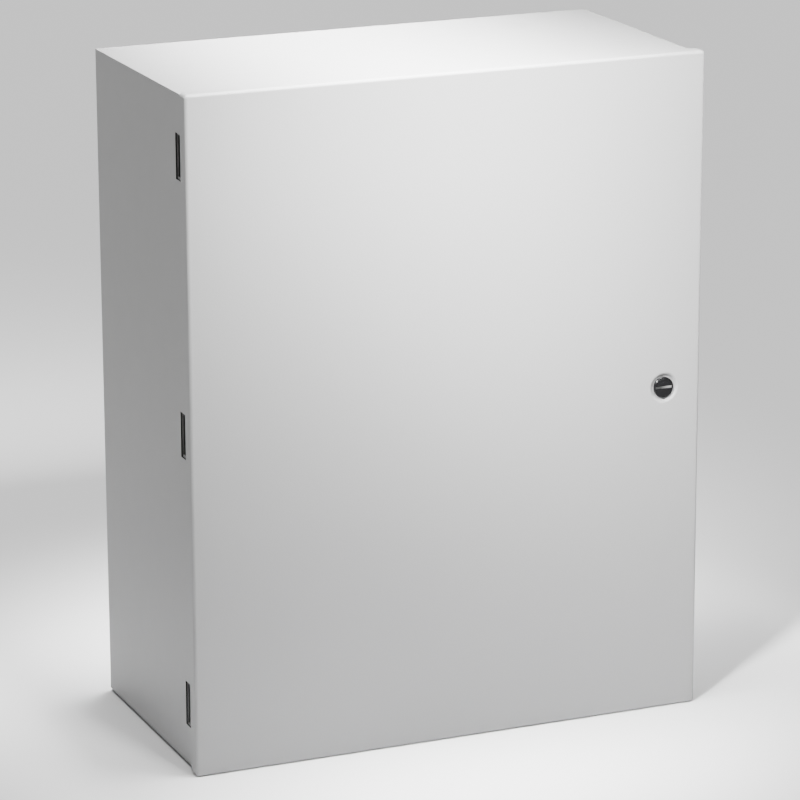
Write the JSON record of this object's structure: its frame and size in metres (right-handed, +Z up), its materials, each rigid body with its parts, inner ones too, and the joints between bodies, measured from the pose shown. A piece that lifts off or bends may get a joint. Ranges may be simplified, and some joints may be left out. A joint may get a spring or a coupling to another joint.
{
  "type": "hinged-cover electrical enclosure",
  "caption": "Wall-mounted sheet steel box for electrical equipment, with a hinged overlapping cover, concealed hinges, a flush quarter-turn latch and a mounting panel.",
  "frame": {"origin": "centre of the four wall holes, on the outer face of the back", "axes": "+Y points into the wall, +Z is up, +X is to the right as seen from the front, so the cover faces -Y and its hinges are on the -X side"},
  "size_m": [0.6096, 0.3048, 0.762],
  "materials": {
    "grey_powder_coat": "fine smooth light grey powder coat, semi-gloss",
    "white_enamel": "white baked enamel",
    "zinc_plate": "bright zinc plate",
    "black_latch": "black die casting, satin",
    "brass": "plain machined"
  },
  "bodies": {
    "enclosure": {"enclosure_body": "grey_powder_coat", "hinge_body_leaf_bottom": "grey_powder_coat", "hinge_body_leaf_middle": "grey_powder_coat", "hinge_body_leaf_top": "grey_powder_coat", "mounting_panel": "white_enamel", "panel_studs": "zinc_plate", "panel_washers": "zinc_plate", "panel_nuts": "zinc_plate", "ground_stud": "zinc_plate", "ground_washer": "zinc_plate", "hinge_pin_bottom": "zinc_plate", "hinge_pin_middle": "zinc_plate", "hinge_pin_top": "zinc_plate", "ground_nut": "brass"},
    "cover": {"cover": "grey_powder_coat", "hinge_cover_leaf_bottom": "grey_powder_coat", "hinge_cover_leaf_middle": "grey_powder_coat", "hinge_cover_leaf_top": "grey_powder_coat", "latch_housing": "black_latch", "latch_nut": "zinc_plate"},
    "latch": {"latch_rotor": "black_latch", "latch_stop_washer": "zinc_plate", "latch_cam": "zinc_plate", "latch_lock_washer": "zinc_plate", "latch_screw": "zinc_plate"}
  },
  "joints": [
    {"name": "cover_hinge", "type": "hinge", "parent": "enclosure", "child": "cover", "pos_m": [-0.29427, -0.2759, 0], "axis": [0, 0, -1], "range_deg": [0, 110]},
    {"name": "latch_turn", "type": "hinge", "parent": "cover", "child": "latch", "pos_m": [0.2603, -0.3016, 0], "axis": [0, -1, 0], "range_deg": [0, 90]}
  ]
}
